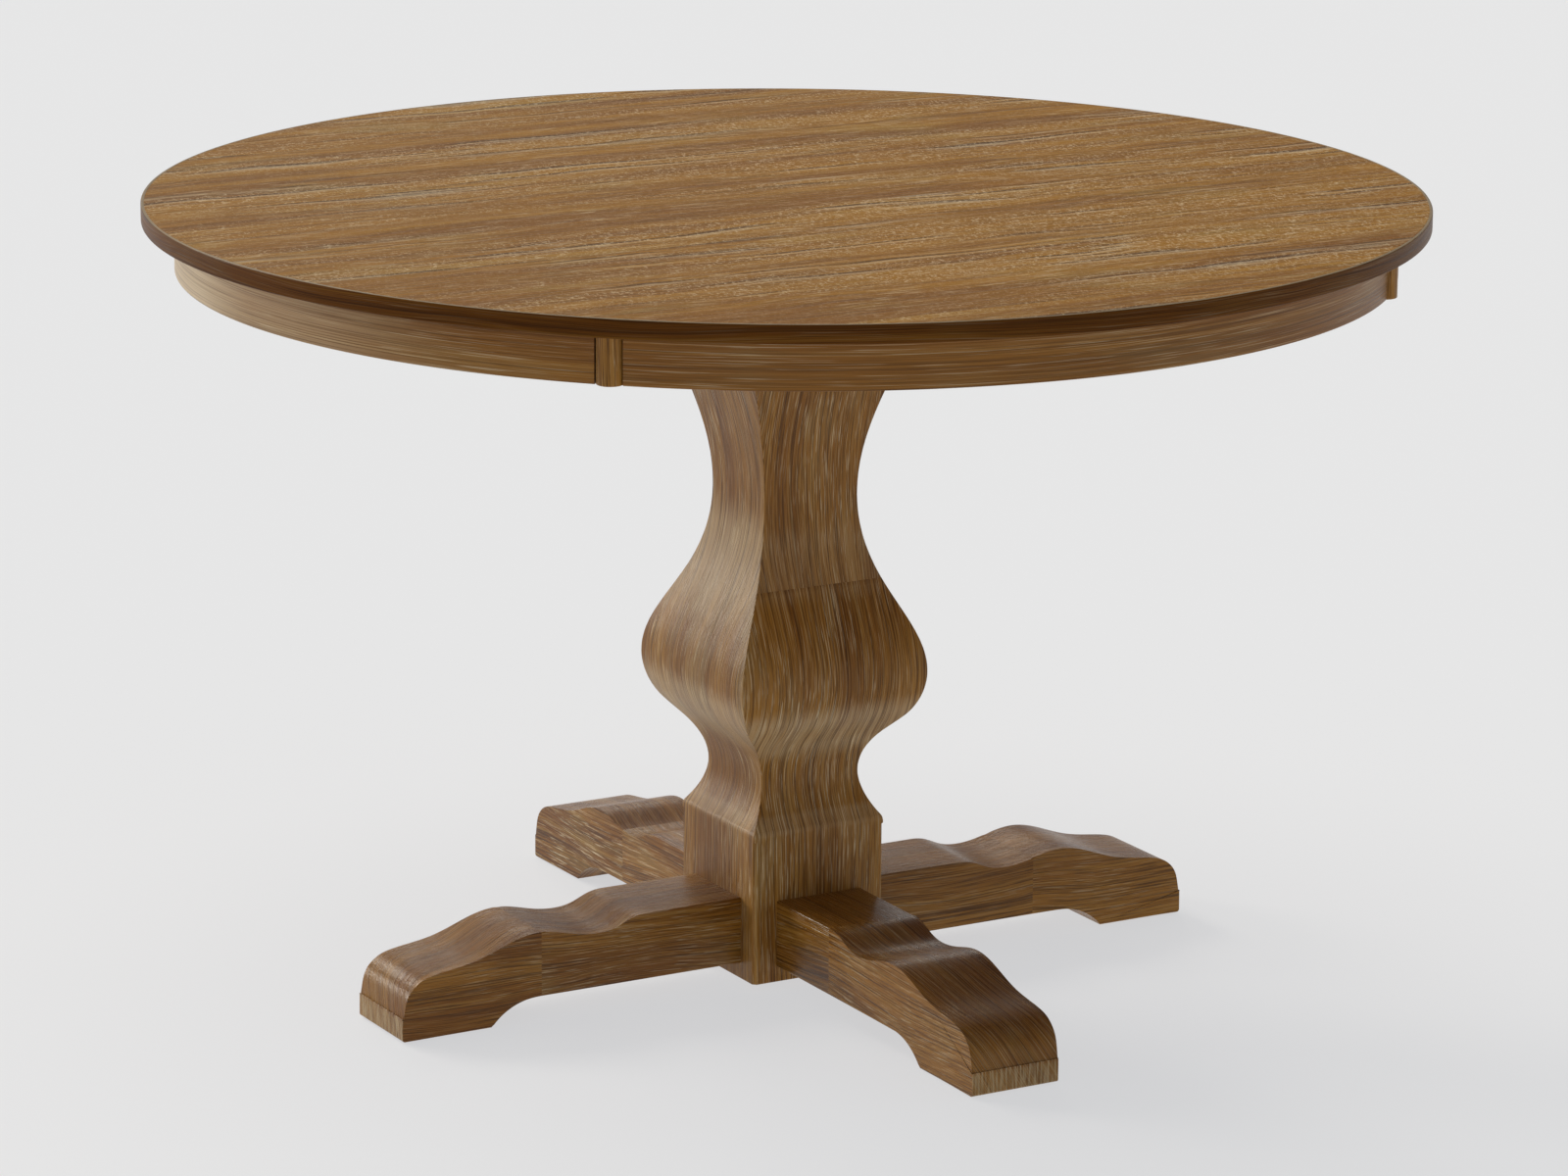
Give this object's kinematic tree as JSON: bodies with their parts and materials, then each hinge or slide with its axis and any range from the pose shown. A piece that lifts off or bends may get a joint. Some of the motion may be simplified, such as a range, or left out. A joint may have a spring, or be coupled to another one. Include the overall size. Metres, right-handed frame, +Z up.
{
  "type": "round pedestal table",
  "caption": "Round dining table on a square waisted pedestal column with crossed low legs, a curved apron and levelling glides.",
  "frame": {"origin": "on the floor under the centre of the round top", "axes": "+Z up; the four legs lie along +X, -X, +Y and -Y; +X is right and -Y is the front"},
  "size_m": [1.194, 1.194, 0.749],
  "materials": {
    "top_veneer": "satin oiled oak veneer with limed grain",
    "backing_veneer": "plain balancing veneer",
    "edge_oak": "satin dark brown oak",
    "apron_oak": "satin oak with limed grain",
    "pilaster_oak": "satin oak with limed grain",
    "column_oak": "satin oak with limed grain",
    "leg_oak": "satin oak with limed grain",
    "fibreboard": "plain fibreboard",
    "plywood": "sanded plywood",
    "softwood": "planed softwood",
    "beech": "plain beech",
    "zinc_steel": "bright zinc plated",
    "brass": "plain turned brass",
    "nylon": "black nylon"
  },
  "bodies": {
    "table": {"apron_pilaster_back_left": "pilaster_oak", "apron_pilaster_back_right": "pilaster_oak", "apron_pilaster_front_left": "pilaster_oak", "apron_pilaster_front_right": "pilaster_oak", "apron_rail_back": "apron_oak", "apron_rail_front": "apron_oak", "apron_rail_left": "apron_oak", "apron_rail_right": "apron_oak", "bearer_crosswise": "softwood", "bearer_lengthwise": "softwood", "column_dowels": "beech", "column_stave_lower_back": "column_oak", "column_stave_lower_front": "column_oak", "column_stave_lower_left": "column_oak", "column_stave_lower_right": "column_oak", "column_stave_upper_back": "column_oak", "column_stave_upper_front": "column_oak", "column_stave_upper_left": "column_oak", "column_stave_upper_right": "column_oak", "corner_block_back_left": "softwood", "corner_block_back_right": "softwood", "corner_block_front_left": "softwood", "corner_block_front_right": "softwood", "corner_block_screws": "zinc_steel", "glide_inserts": "brass", "hanger_bolts": "zinc_steel", "hanger_nuts": "zinc_steel", "hanger_washers": "zinc_steel", "leg_dowels": "beech", "leg_inner_back": "leg_oak", "leg_inner_front": "leg_oak", "leg_inner_left": "leg_oak", "leg_inner_right": "leg_oak", "leg_outer_back": "leg_oak", "leg_outer_front": "leg_oak", "leg_outer_left": "leg_oak", "leg_outer_right": "leg_oak", "leg_splice_dowels": "beech", "mounting_plate": "plywood", "plate_screws": "zinc_steel", "plinth_block": "plywood", "tie_rod": "zinc_steel", "tie_rod_nuts": "zinc_steel", "tie_rod_washers": "zinc_steel", "top_back_veneer": "backing_veneer", "top_core": "fibreboard", "top_edge_lipping": "edge_oak", "top_face_veneer": "top_veneer", "top_screws": "zinc_steel"},
    "glide_right": {"glide_pad_right": "nylon", "glide_screw_right": "zinc_steel"},
    "glide_back": {"glide_pad_back": "nylon", "glide_screw_back": "zinc_steel"},
    "glide_left": {"glide_pad_left": "nylon", "glide_screw_left": "zinc_steel"},
    "glide_front": {"glide_pad_front": "nylon", "glide_screw_front": "zinc_steel"}
  },
  "joints": [
    {"name": "glide_right_height", "type": "slide", "parent": "table", "child": "glide_right", "axis": [0, 0, -1], "range_m": [0, 0.01]},
    {"name": "glide_back_height", "type": "slide", "parent": "table", "child": "glide_back", "axis": [0, 0, -1], "range_m": [0, 0.01]},
    {"name": "glide_left_height", "type": "slide", "parent": "table", "child": "glide_left", "axis": [0, 0, -1], "range_m": [0, 0.01]},
    {"name": "glide_front_height", "type": "slide", "parent": "table", "child": "glide_front", "axis": [0, 0, -1], "range_m": [0, 0.01]}
  ]
}
